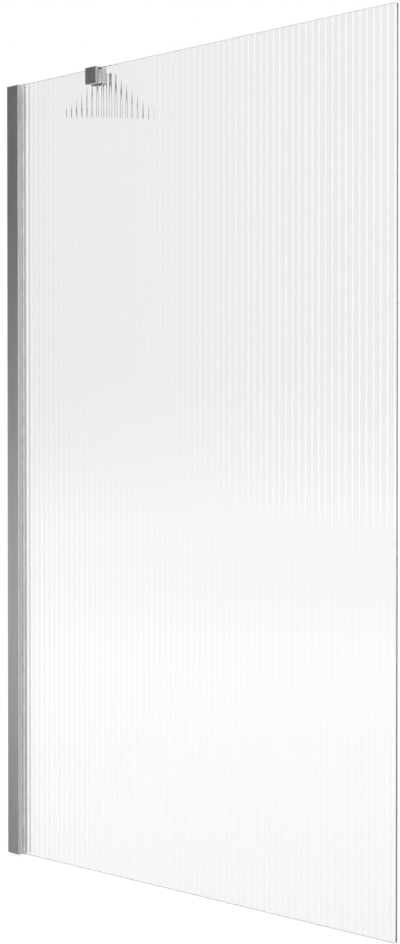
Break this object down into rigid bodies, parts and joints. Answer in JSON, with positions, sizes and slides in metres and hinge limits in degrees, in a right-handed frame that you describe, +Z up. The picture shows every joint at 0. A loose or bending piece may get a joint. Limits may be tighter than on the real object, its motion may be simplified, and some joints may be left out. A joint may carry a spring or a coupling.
{
  "type": "bath screen",
  "caption": "Fixed bath screen: clear fluted glass in a slim wall profile, steadied at its top edge by a square clamp and a swivelling brace that runs back to the wall.",
  "frame": {"origin": "on the wall, at the middle of the wall profile's foot, level with the glass's bottom edge", "axes": "+X from the wall to the free edge of the glass, -Y to the room and the fluted face, +Y to the bath and the brace, +Z up"},
  "size_m": [0.85, 0.253, 1.4014],
  "materials": {
    "profile_metal": "fine upright brushing, satin, mid grey",
    "fitting_metal": "fine satin, mid grey",
    "fluted_glass": "clear toughened glass, fire polished flutes, arrissed edges",
    "gasket": "matt, pale grey",
    "cap_plastic": "fine grained, mid grey",
    "screw_steel": "turned stainless steel",
    "washer": "natural nylon"
  },
  "bodies": {
    "wall_frame": {"wall_profile": "profile_metal"},
    "screen": {"adjusting_profile": "profile_metal", "profile_top_cap": "cap_plastic", "glass_panel": "fluted_glass", "glazing_gasket_front": "gasket", "glazing_gasket_rear": "gasket", "lock_screws": "screw_steel", "lock_nut_plates": "screw_steel", "lock_screw_caps": "cap_plastic", "clamp_body": "fitting_metal", "clamp_front_pad": "gasket", "clamp_fork": "fitting_metal", "clamp_fork_screw": "screw_steel", "clamp_pivot_screw": "screw_steel", "clamp_pivot_washers": "washer"},
    "clamp_jaw": {"clamp_pressure_plate": "screw_steel", "clamp_rear_pad": "gasket", "clamp_set_screws": "screw_steel"},
    "brace": {"brace_tube": "fitting_metal", "brace_end_glass": "fitting_metal", "brace_end_wall": "fitting_metal", "brace_grub_screws": "screw_steel"},
    "wall_bracket": {"wall_fork": "fitting_metal", "wall_pivot_screw": "screw_steel", "wall_pivot_washers": "washer"}
  },
  "joints": [
    {"name": "profile_adjust", "type": "slide", "parent": "wall_frame", "child": "screen", "axis": [1, 0, 0], "range_m": [0, 0.012]},
    {"name": "jaw_grip", "type": "slide", "parent": "screen", "child": "clamp_jaw", "axis": [0, 1, 0], "range_m": [0, 0.0015]},
    {"name": "brace_swivel", "type": "hinge", "parent": "screen", "child": "brace", "pos_m": [0.2145, 0.0285, 1.3875], "axis": [0, 0, 1], "range_deg": [-120, 0]},
    {"name": "bracket_swivel", "type": "hinge", "parent": "brace", "child": "wall_bracket", "pos_m": [0.014, 0.229, 1.3875], "axis": [0, 0, 1], "range_deg": [-120, 30]}
  ]
}
